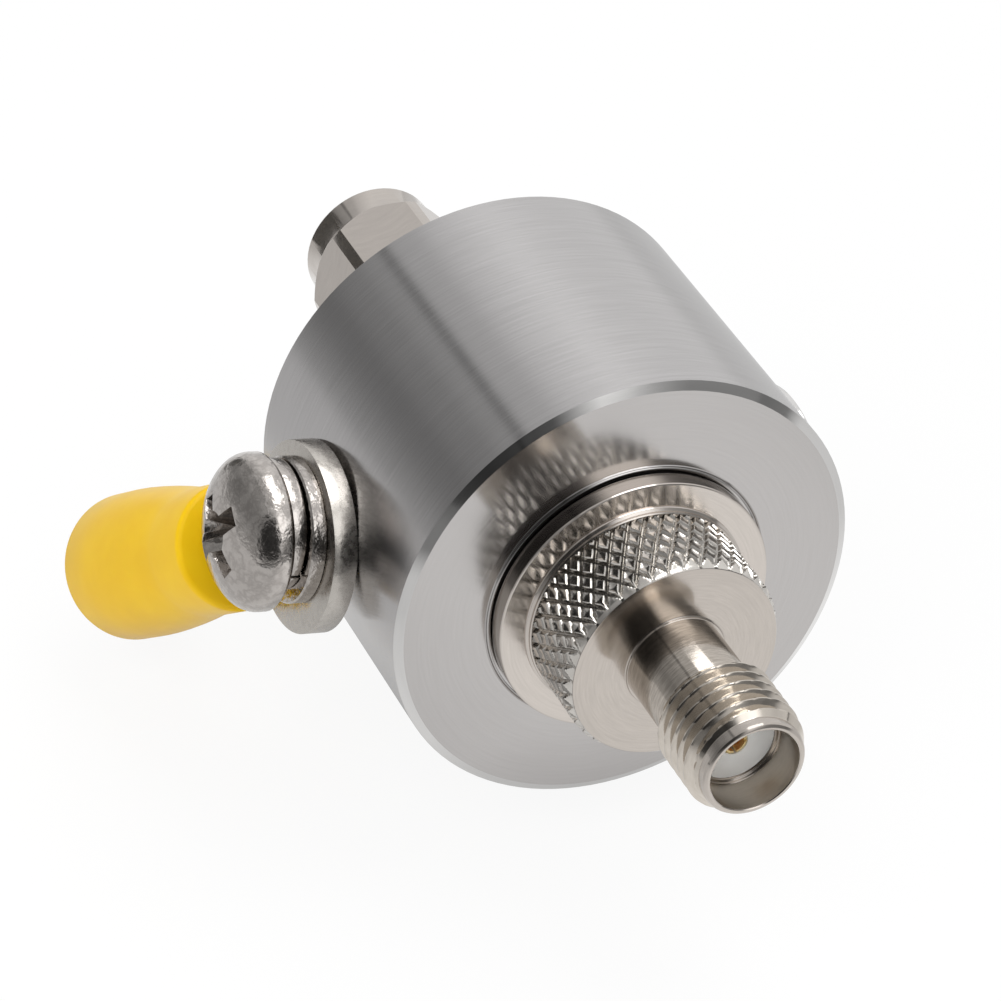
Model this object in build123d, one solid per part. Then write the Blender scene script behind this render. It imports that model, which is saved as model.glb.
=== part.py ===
from build123d import *
import math
import os

# Coaxial in-line surge protector: a round barrel with a threaded socket at
# the front, a coupling nut at the back, a gas discharge tube across the line
# under a flat screw cap, and an earth screw that holds a crimp ring terminal.
# Frame: X is the line axis and points to the front socket, Z is up, and the
# origin is the centre of the coupling nut's mouth. Millimetres.

# barrel
BARREL_R = 12.30
BARREL_X0 = 15.55
BARREL_X1 = 33.55
CHAMFER_X = 0.24
CHAMFER_R = 0.45
CAVITY_R = 5.20
SEAT_R = 6.90
SEAT_DEPTH = 1.60
SEAT_CHAMFER = 0.26
FIT = 0.02

# flanged inserts, one at each end of the barrel
FLANGE_R = SEAT_R + 0.35
FLANGE_H = 0.98
FLANGE_EDGE = 0.12
SEAL_GAP = 0.18
HUB_R = 5.70
SHANK_R = SEAT_R - 0.65
BORE_R = 2.05
SEAL_OUT_R = SEAT_R + 0.08
SEAL_SUNK = 0.06

# front insert, measured from the barrel's front face
LIP_R = 5.78
LIP_H = 0.33
NECK_R = 5.45
NECK_H = 0.50
KNURL_LOW_R = 5.40
KNURL_ROW = 0.73
KNURL_ROWS = 5
KNURL_STARTS = 40
KNURL_CHAMFER_X = 0.20
KNURL_CHAMFER_R = 0.12
SOCKET_BASE_R = 2.66
SOCKET_R = 2.535
SOCKET_LEN = 3.80
SOCKET_BASE_H = 0.12
THREAD_R = 3.125
THREAD_LEN = 3.30
NOSE_R = 2.68
NOSE_LEN = 0.66
MOUTH_R = 2.31
MOUTH_DEPTH = 2.15
MOUTH_RIM = 0.10

# contacts
CONTACT_R = 0.635
CONTACT_HOLE_R = 0.47
CONTACT_HOLE_DEPTH = 3.20
CONTACT_SLOT_W = 0.16
CONTACT_SLOT_LEN = 2.60
PIN_R = 0.46
PIN_LEN = 2.05
PIN_TIP = 0.35
PIN_TIP_R = 0.20
SPIGOT_R = 0.50
SPIGOT_LEN = 2.20
SPIGOT_END_GAP = 0.20
LINE_R = 2.25
LINE_NOSE_R = 0.985
LINE_FLAT_H = 2.05
LINE_TAPER = 0.80
LINE_GAP = 0.90

# rear insert and coupling nut
PLANE_X = 2.90
REAR_HUB_X = 9.35
SHOULDER_X = 5.60
JOURNAL_R = 3.25
FERRULE_R = 2.28
NUT_LEN = 8.90
NUT_FLATS = 8.00
NUT_TURN = 12.6
NUT_LAND_R = 4.45
NUT_EDGE = 0.12
NUT_BACK_EDGE = 0.40
NUT_COLLAR_R = 3.73
NUT_COLLAR_LEN = 1.77
NUT_CONE_LEN = 1.03
NUT_THREAD_R = 2.81
NUT_THREAD_LEN = 4.50
NUT_LEAD = 0.35
NUT_GROOVE = 0.30
NUT_RUN = 0.05
GROOVE_X = 7.00
GROOVE_W = 0.70
GROOVE_DEPTH = 0.42
SNAP_W = 0.60
SNAP_IN_R = 2.91
SNAP_OUT_R = 3.46
SNAP_GAP_DEG = 40.0
GASKET_T = 0.60
GASKET_R = 3.15

# gas tube and its screw cap
CAP_DEG = -1.4
CAP_X = 27.60
CAP_R = 4.85
CAP_TOP = BARREL_R - 0.38
CAP_EDGE = 0.08
CAP_LEAD = 0.25
CAP_SLOT_W = 1.20
CAP_SLOT_DEPTH = 0.90
TUBE_R = 4.00
CERAMIC_R = 3.80
CERAMIC_IN_R = 2.60
TUBE_POCKET_R = 4.20
TUBE_LEN = 6.00
SPRING_H = 1.70
CAP_BOTTOM = LINE_FLAT_H + TUBE_LEN + SPRING_H
ELECTRODE_T = 0.80
BOSS_H = 1.70
BOSS_BASE_R = 2.40
BOSS_R = 2.10
SPRING_T = 0.35
SPRING_R = 3.90
SPRING_HOLE_R = 1.20
SPRING_LAND = 0.30

# earth screw stack, stacked outwards along its own axis
EARTH_DEG = 167.1
EARTH_X = 24.00
EARTH_DROP = 1.65
RING_BACK = BARREL_R + FIT
RING_T = 1.25
RING_R = 4.88
RING_HOLE_R = 2.65
RING_SHIFT = (-0.16, -0.59)
PLAIN_T = 0.80
PLAIN_R = 3.70
PLAIN_HOLE_R = 2.15
PLAIN_EDGE = 0.08
SPLIT_T = 0.84
SPLIT_RISE = 0.09
SPLIT_R = 3.30
SPLIT_HOLE_R = 2.38
SPLIT_SHIFT = (-0.18, 0.27)
SPLIT_GAP_DEG = 3.0
SPLIT_GAP_AT = -20.0
SCREW_R = 2.00
SCREW_LEN = 8.00
SCREW_TIP = 0.50
SCREW_HOLE_EXTRA = 0.60
HEAD_R = 4.00
HEAD_H = 2.85
HEAD_CROWN = 2.20
HEAD_EDGE = 0.25
CROSS_DEG = 58.0
CROSS_W = 1.05
CROSS_R = 2.42
CROSS_ROOT_R = 0.95
CROSS_DEPTH = 2.30
CORE_R = 1.20
CORE_END_R = 0.55

# crimp terminal, drawn along its own tail
TAIL_DEG = 218.8
TAIL_LIFT = 1.5
TONGUE_W = 4.80
TONGUE_END = 5.15
TONGUE_ROOT = (2.40, 4.05)
TONGUE_BASE_W = 8.30
BARREL_START = 4.85
BARREL_LEN = 7.95
CRIMP_R = 2.70
CRIMP_WALL = 0.90
CRIMP_RISE = 1.60
SLEEVE_START = 5.20
SLEEVE_NECK_R = 3.36
SLEEVE_NECK_LEN = 3.20
SLEEVE_FLARE_LEN = 7.00
SLEEVE_END_R = 3.95
SLEEVE_LEN = 13.40
SLEEVE_WALL = 0.72
SLEEVE_EDGE = 0.15
STOP_GAP = 0.30
STOP_CONE = 0.60
SLEEVE_FIT = 0.02


def turned(outline):
    """Solid of revolution about X from (x, radius) corners."""
    corners = [(x, r, 0) for x, r in outline]
    return revolve(Face(Wire.make_polygon(corners, close=True)), Axis.X)


def rod(radius, x0, x1):
    return turned([(x0, 0), (x0, radius), (x1, radius), (x1, 0)])


def tube(inner, outer, x0, x1):
    return turned([(x0, inner), (x0, outer), (x1, outer), (x1, inner)])


def spun(outline):
    """Solid of revolution about Z from (radius, z) corners."""
    corners = [(r, 0, z) for r, z in outline]
    return revolve(Face(Wire.make_polygon(corners, close=True)), Axis.Z)


def radial(x, degrees, drop=0.0):
    """Plane whose Z axis points out of the barrel at x, at an angle from +Y,
    moved sideways by drop."""
    turn = math.radians(degrees)
    side = (0, -drop * math.sin(turn), drop * math.cos(turn))
    out = (0, math.cos(turn), math.sin(turn))
    return Plane(origin=(x, side[1], side[2]), x_dir=(1, 0, 0), z_dir=out)


def placed(shape, plane):
    return plane.location * shape


def save(shape, node):
    export_step(shape, "parts/" + node + ".step")


os.makedirs("parts", exist_ok=True)


def knurl_core(x0):
    """Closed diamond-knurled roller with a bevelled front edge."""
    columns = 2 * KNURL_STARTS
    rings = []
    for row in range(KNURL_ROWS + 1):
        ring = []
        for column in range(columns):
            high = (row + column) % 2 == 1
            ring.append((x0 + row * KNURL_ROW, HUB_R if high else KNURL_LOW_R))
        rings.append(ring)
    front_x = x0 + KNURL_ROWS * KNURL_ROW + KNURL_CHAMFER_X
    bevel = [(front_x, min(r, HUB_R - KNURL_CHAMFER_R)) for x, r in rings[-1]]
    rings.append(bevel)

    def corner(row, column):
        x, r = rings[row][column % columns]
        angle = 2 * math.pi * column / columns
        return Vector(x, r * math.cos(angle), r * math.sin(angle))

    def facet(points):
        return Face(Wire.make_polygon(points, close=True))

    faces = []
    for row in range(len(rings) - 1):
        for column in range(columns):
            near = corner(row, column)
            near_next = corner(row, column + 1)
            far = corner(row + 1, column)
            far_next = corner(row + 1, column + 1)
            if rings[row][column][1] > KNURL_LOW_R:
                faces.append(facet([near, near_next, far]))
                faces.append(facet([near_next, far_next, far]))
            else:
                faces.append(facet([near, near_next, far_next]))
                faces.append(facet([near, far_next, far]))
    for row in (0, len(rings) - 1):
        faces.append(facet([corner(row, column) for column in range(columns)]))
    return Solid(Shell(faces))


EARTH = radial(EARTH_X, EARTH_DEG, EARTH_DROP)
CAP = radial(CAP_X, CAP_DEG)
PLAIN_BACK = RING_BACK + RING_T + FIT
SPLIT_BACK = PLAIN_BACK + PLAIN_T + FIT
HEAD_BACK = SPLIT_BACK + SPLIT_T + SPLIT_RISE + FIT
SCREW_END = HEAD_BACK - SCREW_LEN

# barrel: one turned bar with a chamfer at each end, bored through
barrel = turned([
    (BARREL_X0, 0),
    (BARREL_X0, BARREL_R - CHAMFER_R),
    (BARREL_X0 + CHAMFER_X, BARREL_R),
    (BARREL_X1 - CHAMFER_X, BARREL_R),
    (BARREL_X1, BARREL_R - CHAMFER_R),
    (BARREL_X1, 0),
])
barrel -= turned([
    (BARREL_X0, 0),
    (BARREL_X0, SEAT_R + SEAT_CHAMFER),
    (BARREL_X0 + SEAT_CHAMFER, SEAT_R),
    (BARREL_X0 + SEAT_DEPTH, SEAT_R),
    (BARREL_X0 + SEAT_DEPTH, CAVITY_R),
    (BARREL_X1 - SEAT_DEPTH, CAVITY_R),
    (BARREL_X1 - SEAT_DEPTH, SEAT_R),
    (BARREL_X1 - SEAT_CHAMFER, SEAT_R),
    (BARREL_X1, SEAT_R + SEAT_CHAMFER),
    (BARREL_X1, 0),
])
barrel -= placed(
    spun([
        (0, LINE_FLAT_H),
        (TUBE_POCKET_R, LINE_FLAT_H),
        (TUBE_POCKET_R, CAP_BOTTOM),
        (CAP_R, CAP_BOTTOM),
        (CAP_R, BARREL_R + 1),
        (0, BARREL_R + 1),
    ]),
    CAP,
)
barrel -= placed(
    spun([
        (0, SCREW_END - SCREW_HOLE_EXTRA),
        (SCREW_R, SCREW_END),
        (SCREW_R, BARREL_R + 1),
        (0, BARREL_R + 1),
    ]),
    EARTH,
)
save(barrel, "barrel_body")

# front insert: flange, lip, knurled hub and the threaded socket in one piece
shank_x = BARREL_X1 - SEAT_DEPTH
flange_x = BARREL_X1 + SEAL_GAP
lip_x = flange_x + FLANGE_H
neck_x = lip_x + LIP_H
knurl_x = neck_x + NECK_H
disc_x = knurl_x + KNURL_ROWS * KNURL_ROW + KNURL_CHAMFER_X
socket_x = disc_x + SOCKET_LEN
thread_x = socket_x + THREAD_R - SOCKET_R
thread_end = thread_x + THREAD_LEN
nose_x = thread_end + THREAD_R - NOSE_R
mouth_x = nose_x + NOSE_LEN
front_plane = mouth_x - MOUTH_DEPTH
front = turned([
    (shank_x, 0),
    (shank_x, SEAT_R - FIT),
    (BARREL_X1 - SEAT_CHAMFER, SEAT_R - FIT),
    (BARREL_X1 - SEAT_CHAMFER, SHANK_R),
    (flange_x, SHANK_R),
    (flange_x, FLANGE_R - FLANGE_EDGE),
    (flange_x + FLANGE_EDGE, FLANGE_R),
    (lip_x - FLANGE_EDGE, FLANGE_R),
    (lip_x, FLANGE_R - FLANGE_EDGE),
    (lip_x, LIP_R),
    (neck_x, LIP_R),
    (neck_x, NECK_R),
    (knurl_x, NECK_R),
    (knurl_x, 0),
])
front += knurl_core(knurl_x)
front += turned([
    (disc_x - 1, 0),
    (disc_x - 1, SOCKET_BASE_R),
    (disc_x + SOCKET_BASE_H, SOCKET_BASE_R),
    (disc_x + SOCKET_BASE_H, SOCKET_R),
    (socket_x, SOCKET_R),
    (thread_x, THREAD_R),
    (thread_end, THREAD_R),
    (nose_x, NOSE_R),
    (mouth_x - MOUTH_RIM, NOSE_R),
    (mouth_x, NOSE_R - MOUTH_RIM),
    (mouth_x, 0),
])
front -= turned([
    (shank_x, 0),
    (shank_x, BORE_R + FIT),
    (front_plane, BORE_R + FIT),
    (front_plane, MOUTH_R),
    (mouth_x - MOUTH_RIM, MOUTH_R),
    (mouth_x, MOUTH_R + MOUTH_RIM),
    (mouth_x, 0),
])
save(front, "front_insert")

# seal rings in the small gap under each flange
seal_x = BARREL_X1 - SEAL_SUNK
front_seal = tube(SHANK_R + FIT, SEAL_OUT_R, seal_x, flange_x - FIT)
save(front_seal, "front_seal_ring")
mirror_x = BARREL_X0 + BARREL_X1
rear_seal = tube(SHANK_R + FIT, SEAL_OUT_R, mirror_x - flange_x + FIT, mirror_x - seal_x)
save(rear_seal, "rear_seal_ring")

# rear insert: flange, plain hub, journal for the nut and the plug ferrule
rear_flange_x = BARREL_X0 - SEAL_GAP
rear_face_x = rear_flange_x - FLANGE_H
rear = turned([
    (BARREL_X0 + SEAT_DEPTH, 0),
    (BARREL_X0 + SEAT_DEPTH, SEAT_R - FIT),
    (BARREL_X0 + SEAT_CHAMFER, SEAT_R - FIT),
    (BARREL_X0 + SEAT_CHAMFER, SHANK_R),
    (rear_flange_x, SHANK_R),
    (rear_flange_x, FLANGE_R - FLANGE_EDGE),
    (rear_flange_x - FLANGE_EDGE, FLANGE_R),
    (rear_face_x + FLANGE_EDGE, FLANGE_R),
    (rear_face_x, FLANGE_R - FLANGE_EDGE),
    (rear_face_x, HUB_R),
    (REAR_HUB_X + KNURL_CHAMFER_X, HUB_R),
    (REAR_HUB_X, HUB_R - KNURL_CHAMFER_X),
    (REAR_HUB_X, JOURNAL_R),
    (GROOVE_X + GROOVE_W, JOURNAL_R),
    (GROOVE_X + GROOVE_W, JOURNAL_R - GROOVE_DEPTH),
    (GROOVE_X, JOURNAL_R - GROOVE_DEPTH),
    (GROOVE_X, JOURNAL_R),
    (SHOULDER_X, JOURNAL_R),
    (SHOULDER_X, FERRULE_R),
    (PLANE_X + MOUTH_RIM, FERRULE_R),
    (PLANE_X, FERRULE_R - MOUTH_RIM),
    (PLANE_X, 0),
])
rear -= rod(BORE_R + FIT, PLANE_X, BARREL_X0 + SEAT_DEPTH)
save(rear, "rear_insert")

# coupling nut: collar, cone and hexagon on the outside, thread bore inside
nut = turned([
    (0, 0),
    (0, NUT_COLLAR_R - NUT_EDGE),
    (NUT_EDGE, NUT_COLLAR_R),
    (NUT_COLLAR_LEN, NUT_COLLAR_R),
    (NUT_COLLAR_LEN + NUT_CONE_LEN, NUT_LAND_R),
    (NUT_LEN - NUT_BACK_EDGE, NUT_LAND_R),
    (NUT_LEN, NUT_LAND_R - NUT_BACK_EDGE),
    (NUT_LEN, 0),
])
hexagon = RegularPolygon(NUT_FLATS / 2, 6, major_radius=False, rotation=NUT_TURN)
nut &= Plane.YZ.location * extrude(hexagon, NUT_LEN)
nut_bore_r = JOURNAL_R + NUT_RUN
nut -= turned([
    (0, 0),
    (0, NUT_THREAD_R + NUT_LEAD),
    (NUT_LEAD, NUT_THREAD_R),
    (NUT_THREAD_LEN, NUT_THREAD_R),
    (NUT_THREAD_LEN, nut_bore_r),
    (GROOVE_X, nut_bore_r),
    (GROOVE_X, nut_bore_r + NUT_GROOVE),
    (GROOVE_X + GROOVE_W, nut_bore_r + NUT_GROOVE),
    (GROOVE_X + GROOVE_W, nut_bore_r),
    (NUT_LEN, nut_bore_r),
    (NUT_LEN, 0),
])
save(nut, "coupling_nut")

# open wire ring that keeps the nut on the journal and lets it turn
snap_x = GROOVE_X + (GROOVE_W - SNAP_W) / 2
snap_gap = 2 * SNAP_OUT_R * math.tan(math.radians(SNAP_GAP_DEG / 2))
snap = tube(SNAP_IN_R, SNAP_OUT_R, snap_x, snap_x + SNAP_W)
snap -= Pos(snap_x + SNAP_W / 2, 0, SNAP_OUT_R) * Box(2 * SNAP_W, snap_gap, SNAP_OUT_R)
save(snap, "nut_snap_ring")

# flat sealing ring against the shoulder inside the nut
gasket = tube(FERRULE_R + FIT, GASKET_R, SHOULDER_X - GASKET_T, SHOULDER_X)
save(gasket, "nut_gasket")

# insulators
line_x0 = BARREL_X0 + SEAT_DEPTH + LINE_GAP
line_x1 = BARREL_X1 - SEAT_DEPTH - LINE_GAP
front_insulator = tube(CONTACT_R + FIT, BORE_R, shank_x, front_plane)
save(front_insulator, "front_insulator")
rear_insulator = tube(CONTACT_R + FIT, BORE_R, PLANE_X, BARREL_X0 + SEAT_DEPTH)
save(rear_insulator, "rear_insulator")

# centre conductor with a flat under the gas tube and a hole at each end
line = turned([
    (line_x0, 0),
    (line_x0, LINE_NOSE_R),
    (line_x0 + LINE_TAPER, LINE_R),
    (line_x1 - LINE_TAPER, LINE_R),
    (line_x1, LINE_NOSE_R),
    (line_x1, 0),
])
spigot_hole = SPIGOT_LEN + SPIGOT_END_GAP
line -= rod(SPIGOT_R + FIT, line_x0, line_x0 + spigot_hole)
line -= rod(SPIGOT_R + FIT, line_x1 - spigot_hole, line_x1)
line -= placed(Pos(0, 0, LINE_FLAT_H + LINE_R) * Box(2 * TUBE_POCKET_R, 2 * LINE_R, 2 * LINE_R), CAP)
save(line, "centre_conductor")

# slotted socket contact and plug pin, each with a spigot into the conductor
contact = turned([
    (line_x1 - SPIGOT_LEN, 0),
    (line_x1 - SPIGOT_LEN, SPIGOT_R),
    (line_x1, SPIGOT_R),
    (line_x1, CONTACT_R),
    (front_plane - 0.08, CONTACT_R),
    (front_plane, CONTACT_R - 0.08),
    (front_plane, CONTACT_HOLE_R),
    (front_plane - CONTACT_HOLE_DEPTH, CONTACT_HOLE_R),
    (front_plane - CONTACT_HOLE_DEPTH, 0),
])
slot = Box(CONTACT_SLOT_LEN, CONTACT_SLOT_W, 2 * CONTACT_R + FIT)
for quarter in range(2):
    contact -= Pos(front_plane - CONTACT_SLOT_LEN / 2, 0, 0) * Rot(90 * quarter, 0, 0) * slot
save(contact, "socket_contact")
pin = turned([
    (line_x0 + SPIGOT_LEN, 0),
    (line_x0 + SPIGOT_LEN, SPIGOT_R),
    (line_x0, SPIGOT_R),
    (line_x0, CONTACT_R),
    (PLANE_X, CONTACT_R),
    (PLANE_X, PIN_R),
    (PLANE_X - PIN_LEN + PIN_TIP, PIN_R),
    (PLANE_X - PIN_LEN, PIN_TIP_R),
    (PLANE_X - PIN_LEN, 0),
])
save(pin, "plug_pin")

# gas discharge tube: ceramic ring between two plated end electrodes
tube_x0 = LINE_FLAT_H
tube_x1 = tube_x0 + TUBE_LEN
ceramic = spun([
    (CERAMIC_IN_R, tube_x0 + ELECTRODE_T),
    (CERAMIC_R, tube_x0 + ELECTRODE_T),
    (CERAMIC_R, tube_x1 - ELECTRODE_T),
    (CERAMIC_IN_R, tube_x1 - ELECTRODE_T),
])
save(placed(ceramic, CAP), "gas_tube_ceramic")


def electrode(face, inward):
    """End cap with a boss that stands into the gas space."""
    rim = face + inward * ELECTRODE_T
    boss = rim + inward * BOSS_H
    return spun([
        (0, face),
        (TUBE_R, face),
        (TUBE_R, rim),
        (BOSS_BASE_R, rim),
        (BOSS_R, boss),
        (0, boss),
    ])


save(placed(electrode(tube_x0, 1), CAP), "gas_tube_line_electrode")
save(placed(electrode(tube_x1, -1), CAP), "gas_tube_earth_electrode")

# dished contact spring between the tube and the cap
spring = spun([
    (SPRING_HOLE_R, CAP_BOTTOM - SPRING_T),
    (SPRING_HOLE_R + SPRING_LAND, CAP_BOTTOM - SPRING_T),
    (SPRING_R - SPRING_LAND, tube_x1),
    (SPRING_R, tube_x1),
    (SPRING_R, tube_x1 + SPRING_T),
    (SPRING_R - SPRING_LAND, tube_x1 + SPRING_T),
    (SPRING_HOLE_R + SPRING_LAND, CAP_BOTTOM),
    (SPRING_HOLE_R, CAP_BOTTOM),
])
save(placed(spring, CAP), "gas_tube_spring")

# flat slotted screw cap over the gas tube
cap = spun([
    (0, CAP_BOTTOM),
    (CAP_R - FIT - CAP_LEAD, CAP_BOTTOM),
    (CAP_R - FIT, CAP_BOTTOM + CAP_LEAD),
    (CAP_R - FIT, CAP_TOP - CAP_EDGE),
    (CAP_R - FIT - CAP_EDGE, CAP_TOP),
    (0, CAP_TOP),
])
cap -= Pos(0, 0, CAP_TOP) * Box(2 * CAP_R + 1, CAP_SLOT_W, 2 * CAP_SLOT_DEPTH)
save(placed(cap, CAP), "gas_tube_cap")

# earth screw: rounded pan head with a cross recess
head_top = HEAD_BACK + HEAD_H
side_top = head_top - HEAD_CROWN
with BuildPart() as screw_maker:
    with BuildSketch(Plane.XZ):
        with BuildLine():
            Polyline(
                (0, SCREW_END),
                (SCREW_R - SCREW_TIP, SCREW_END),
                (SCREW_R, SCREW_END + SCREW_TIP),
                (SCREW_R, HEAD_BACK),
                (HEAD_R - HEAD_EDGE, HEAD_BACK),
                (HEAD_R, HEAD_BACK + HEAD_EDGE),
                (HEAD_R, side_top),
            )
            EllipticalCenterArc((0, side_top), HEAD_R, HEAD_CROWN, 0, arc_size=90)
            Line((0, head_top), (0, SCREW_END))
        make_face()
    revolve(axis=Axis.Z)
screw = screw_maker.part
arm_outline = Polygon(
    (-CROSS_R, 0),
    (-CROSS_ROOT_R, -CROSS_DEPTH),
    (CROSS_ROOT_R, -CROSS_DEPTH),
    (CROSS_R, 0),
    align=None,
)
arm = extrude(Plane.XZ.location * arm_outline, CROSS_W / 2, both=True)
core = spun([(0, 0), (CORE_R, 0), (CORE_END_R, -CROSS_DEPTH), (0, -CROSS_DEPTH)])
recess = arm + Rot(0, 0, 90) * arm + core
screw -= Pos(0, 0, head_top) * Rot(0, 0, CROSS_DEG) * recess
save(placed(screw, EARTH), "earth_screw")

# plain washer on the ring terminal
plain = spun([
    (PLAIN_HOLE_R, PLAIN_BACK),
    (PLAIN_R - PLAIN_EDGE, PLAIN_BACK),
    (PLAIN_R, PLAIN_BACK + PLAIN_EDGE),
    (PLAIN_R, PLAIN_BACK + PLAIN_T - PLAIN_EDGE),
    (PLAIN_R - PLAIN_EDGE, PLAIN_BACK + PLAIN_T),
    (PLAIN_HOLE_R, PLAIN_BACK + PLAIN_T),
])
save(placed(plain, EARTH), "plain_washer")

# split spring washer under the head: one turn of square wire, pressed almost flat
split_mid = (SPLIT_R + SPLIT_HOLE_R) / 2
split_turn = 1 - SPLIT_GAP_DEG / 360
split_path = Helix(SPLIT_RISE, SPLIT_RISE * split_turn, split_mid, lefthand=True)
split_end = Plane(split_path @ 0, x_dir=(1, 0, 0), z_dir=(0, 1, 0))
split_wire = split_end * Rectangle(SPLIT_R - SPLIT_HOLE_R, SPLIT_T)
split = sweep(split_wire, path=split_path, is_frenet=True)
split_z = SPLIT_BACK + SPLIT_T / 2
split = Pos(*SPLIT_SHIFT, split_z) * Rot(0, 0, SPLIT_GAP_AT - SPLIT_GAP_DEG / 2) * split
save(placed(split, EARTH), "spring_washer")

# ring terminal: ring and tongue from sheet, rolled crimp barrel on the tail
ring_mid = RING_BACK + RING_T / 2
ring = extrude(Circle(RING_R), RING_T)
root_x, root_y = TONGUE_ROOT
tongue_outline = Polygon(
    (0, -TONGUE_BASE_W / 2),
    (root_x, -root_y),
    (TONGUE_END, -TONGUE_W / 2),
    (TONGUE_END, TONGUE_W / 2),
    (root_x, root_y),
    (0, TONGUE_BASE_W / 2),
    align=None,
)
tongue = extrude(tongue_outline, RING_T)
plate = Pos(0, 0, RING_BACK) * (ring + tongue)
tail = Plane(
    origin=(0, 0, ring_mid + CRIMP_RISE),
    x_dir=(math.cos(math.radians(TAIL_LIFT)), 0, math.sin(math.radians(TAIL_LIFT))),
    z_dir=(-math.sin(math.radians(TAIL_LIFT)), 0, math.cos(math.radians(TAIL_LIFT))),
)
crimp = tail.location * tube(CRIMP_R - CRIMP_WALL, CRIMP_R, BARREL_START, BARREL_START + BARREL_LEN)
bore_clear = tail.location * rod(CRIMP_R - CRIMP_WALL, BARREL_START, BARREL_START + BARREL_LEN)
terminal = plate + crimp - bore_clear
terminal -= Pos(0, 0, RING_BACK) * extrude(Circle(RING_HOLE_R), 3 * RING_T)
tail_turn = Pos(*RING_SHIFT) * Rot(0, 0, TAIL_DEG)
save(placed(tail_turn * terminal, EARTH), "terminal_lug")

# insulating sleeve: short neck over the crimp barrel, flared wire entry
neck_end = SLEEVE_START + SLEEVE_NECK_LEN
flare_end = neck_end + SLEEVE_FLARE_LEN
sleeve_end = SLEEVE_START + SLEEVE_LEN
stop_x = BARREL_START + BARREL_LEN + STOP_GAP
flare = SLEEVE_END_R - SLEEVE_NECK_R
sleeve = turned([
    (SLEEVE_START, CRIMP_R + SLEEVE_FIT),
    (SLEEVE_START, SLEEVE_NECK_R - SLEEVE_EDGE),
    (SLEEVE_START + SLEEVE_EDGE, SLEEVE_NECK_R),
    (neck_end, SLEEVE_NECK_R),
    (neck_end + SLEEVE_FLARE_LEN / 3, SLEEVE_NECK_R + 0.45 * flare),
    (neck_end + 2 * SLEEVE_FLARE_LEN / 3, SLEEVE_NECK_R + 0.8 * flare),
    (flare_end, SLEEVE_END_R),
    (sleeve_end - SLEEVE_EDGE, SLEEVE_END_R),
    (sleeve_end, SLEEVE_END_R - SLEEVE_EDGE),
    (sleeve_end, SLEEVE_END_R - SLEEVE_WALL),
    (flare_end, SLEEVE_END_R - SLEEVE_WALL),
    (stop_x + STOP_CONE, CRIMP_R + SLEEVE_FIT),
])
save(placed(tail_turn * (tail.location * sleeve), EARTH), "terminal_sleeve")
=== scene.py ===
import math
import bmesh
import bpy
from mathutils import Matrix, Vector, noise


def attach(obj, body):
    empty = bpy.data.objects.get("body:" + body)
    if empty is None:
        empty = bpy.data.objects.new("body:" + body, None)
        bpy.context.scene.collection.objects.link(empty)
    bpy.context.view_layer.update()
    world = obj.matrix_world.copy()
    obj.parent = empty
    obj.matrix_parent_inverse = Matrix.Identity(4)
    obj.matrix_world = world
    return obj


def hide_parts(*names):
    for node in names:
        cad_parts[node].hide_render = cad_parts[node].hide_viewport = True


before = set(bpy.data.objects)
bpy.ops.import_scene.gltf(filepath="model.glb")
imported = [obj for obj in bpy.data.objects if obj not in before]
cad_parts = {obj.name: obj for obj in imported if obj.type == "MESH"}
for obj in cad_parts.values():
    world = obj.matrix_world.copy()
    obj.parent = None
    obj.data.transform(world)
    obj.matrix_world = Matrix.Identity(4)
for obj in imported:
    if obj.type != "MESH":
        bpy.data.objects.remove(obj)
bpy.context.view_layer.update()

# Barrel: one bar of brass, turned, brushed round and nickel plated. It is bored
# through for the line, with a pocket for the gas tube and a tapped earth hole,
# and a chamfer is cut and polished at each end.
MM = 0.001
FAINT, STRONG = 0.3, 0.7  # nearly all of a cloudy pattern lies between these


def reckon(tree, operation, first, second=None):
    """One step of arithmetic in a finish, on sockets or numbers."""
    node = tree.nodes.new("ShaderNodeMath")
    node.operation = operation
    for socket, value in zip(node.inputs, (first, second)):
        if isinstance(value, (int, float)):
            socket.default_value = value
        elif value is not None:
            tree.links.new(value, socket)
    return node.outputs[0]


def distance(tree, one, two):
    """How far a place lies from where both of these measures are nought."""
    squares = [reckon(tree, "MULTIPLY", side, side) for side in (one, two)]
    return reckon(tree, "SQRT", reckon(tree, "ADD", *squares))


def start_finish(name):
    """A new material, its nodes and shader, the place on the object and its x, y and z."""
    finish = bpy.data.materials.new(name)
    finish.use_nodes = True
    tree = finish.node_tree
    shader = tree.nodes["Principled BSDF"]
    place = tree.nodes.new("ShaderNodeTexCoord")
    parts = tree.nodes.new("ShaderNodeSeparateXYZ")
    tree.links.new(place.outputs["Object"], parts.inputs[0])
    return finish, tree, shader, place.outputs["Object"], parts.outputs


def grain(tree, place, scale, detail=2.0, roughness=0.5):
    """A cloudy pattern, the finer the larger its scale."""
    node = tree.nodes.new("ShaderNodeTexNoise")
    node.inputs["Scale"].default_value = scale
    node.inputs["Detail"].default_value = detail
    node.inputs["Roughness"].default_value = roughness
    tree.links.new(place, node.inputs["Vector"])
    return node.outputs["Fac"]


def spread(tree, value, low, high, to_low, to_high):
    """Stretch a value, so that low becomes to_low and high becomes to_high."""
    node = tree.nodes.new("ShaderNodeMapRange")
    tree.links.new(value, node.inputs["Value"])
    node.inputs["From Min"].default_value = low
    node.inputs["From Max"].default_value = high
    node.inputs["To Min"].default_value = to_low
    node.inputs["To Max"].default_value = to_high
    return node.outputs[0]


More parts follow.
